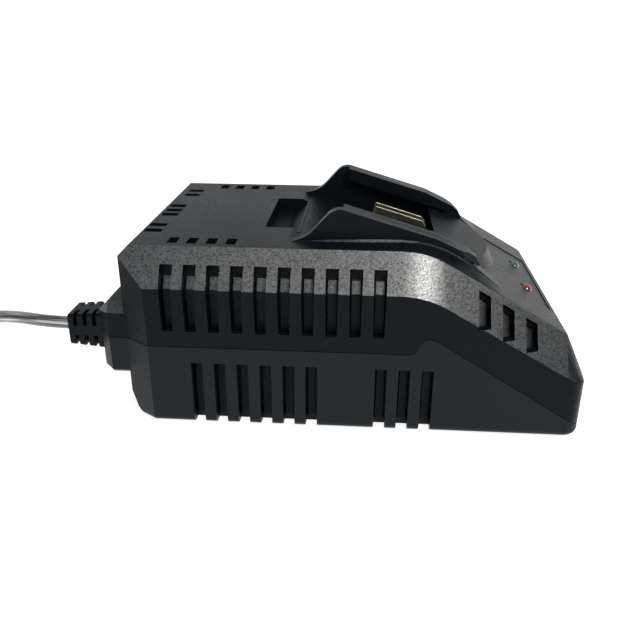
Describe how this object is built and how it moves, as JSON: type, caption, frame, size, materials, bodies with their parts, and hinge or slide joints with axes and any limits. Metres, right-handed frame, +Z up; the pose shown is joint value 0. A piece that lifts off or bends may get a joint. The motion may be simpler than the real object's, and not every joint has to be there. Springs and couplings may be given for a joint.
{
  "type": "power tool battery charger",
  "caption": "Slide-pack battery charger: two-part vented housing with a sloping battery dock, contact blades, two lamps and a mains lead with a flat two-blade plug.",
  "frame": {"origin": "on the table under the middle of the charger, lead and strain relief left out of the count", "axes": "+X towards the nose with the lamps, +Z up, the lead leaves towards -X on the -Y side"},
  "size_m": [0.3699, 0.1731, 0.0855],
  "materials": {
    "housing": "fine sparkle texture, moulded black",
    "lower_housing": "smooth satin black",
    "liner": "smooth black",
    "contact_plastic": "glass-filled black",
    "brass": "nickel-bright brass",
    "red_lens": "diffused red resin",
    "green_lens": "diffused green resin",
    "rubber": "matt black",
    "cord_jacket": "clear jacket over silvery strands",
    "plug_plastic": "moulded black",
    "pin_metal": "bright",
    "tie_fabric": "hook-and-loop band",
    "steel": "zinc-plated",
    "board_laminate": "green solder mask",
    "chip_plastic": "moulded black",
    "aluminium": "mill finish",
    "capacitor_sleeve": "shrink sleeve",
    "film_box": "moulded yellow",
    "relay_case": "moulded blue",
    "disc_coat": "dipped blue",
    "ferrite": "sintered grey",
    "bobbin_plastic": "phenolic",
    "winding_tape": "yellow tape over copper",
    "fuse_glass": "clear tube",
    "connector_plastic": "white nylon",
    "wire_live": "brown insulation",
    "wire_neutral": "blue insulation",
    "wire_positive": "red insulation",
    "wire_negative": "black insulation"
  },
  "bodies": {
    "root": {"board_screws": "steel", "bottom_shell": "lower_housing", "bridge_rectifier": "chip_plastic", "case_screws": "steel", "circuit_board": "board_laminate", "contact_block": "contact_plastic", "control_chip": "chip_plastic", "cord_coil": "cord_jacket", "cord_end": "cord_jacket", "cord_tie": "tie_fabric", "film_capacitor": "film_box", "fuse": "fuse_glass", "green_lamp": "green_lens", "input_capacitor": "capacitor_sleeve", "isolator_chip": "chip_plastic", "lamp_board": "board_laminate", "line_choke_core": "ferrite", "live_wire": "wire_live", "lower_vent_liner_far": "liner", "lower_vent_liner_near": "liner", "mains_cord": "cord_jacket", "negative_contact": "brass", "negative_wire": "wire_negative", "neutral_wire": "wire_neutral", "nose_vent_liner_far": "liner", "nose_vent_liner_near": "liner", "output_capacitor_far": "capacitor_sleeve", "output_capacitor_near": "capacitor_sleeve", "output_connector": "connector_plastic", "output_rectifier": "chip_plastic", "plug_body": "plug_plastic", "plug_pins": "pin_metal", "positive_contact": "brass", "positive_wire": "wire_positive", "primary_heat_sink": "aluminium", "red_lamp": "red_lens", "relay": "relay_case", "rubber_feet": "rubber", "secondary_heat_sink": "aluminium", "strain_relief_boot": "rubber", "surge_absorber": "disc_coat", "switching_transistor": "chip_plastic", "top_shell": "housing", "transformer_bobbin": "bobbin_plastic", "transformer_core": "ferrite", "transformer_winding": "winding_tape", "upper_vent_liner_far": "liner", "upper_vent_liner_near": "liner"}
  },
  "joints": []
}
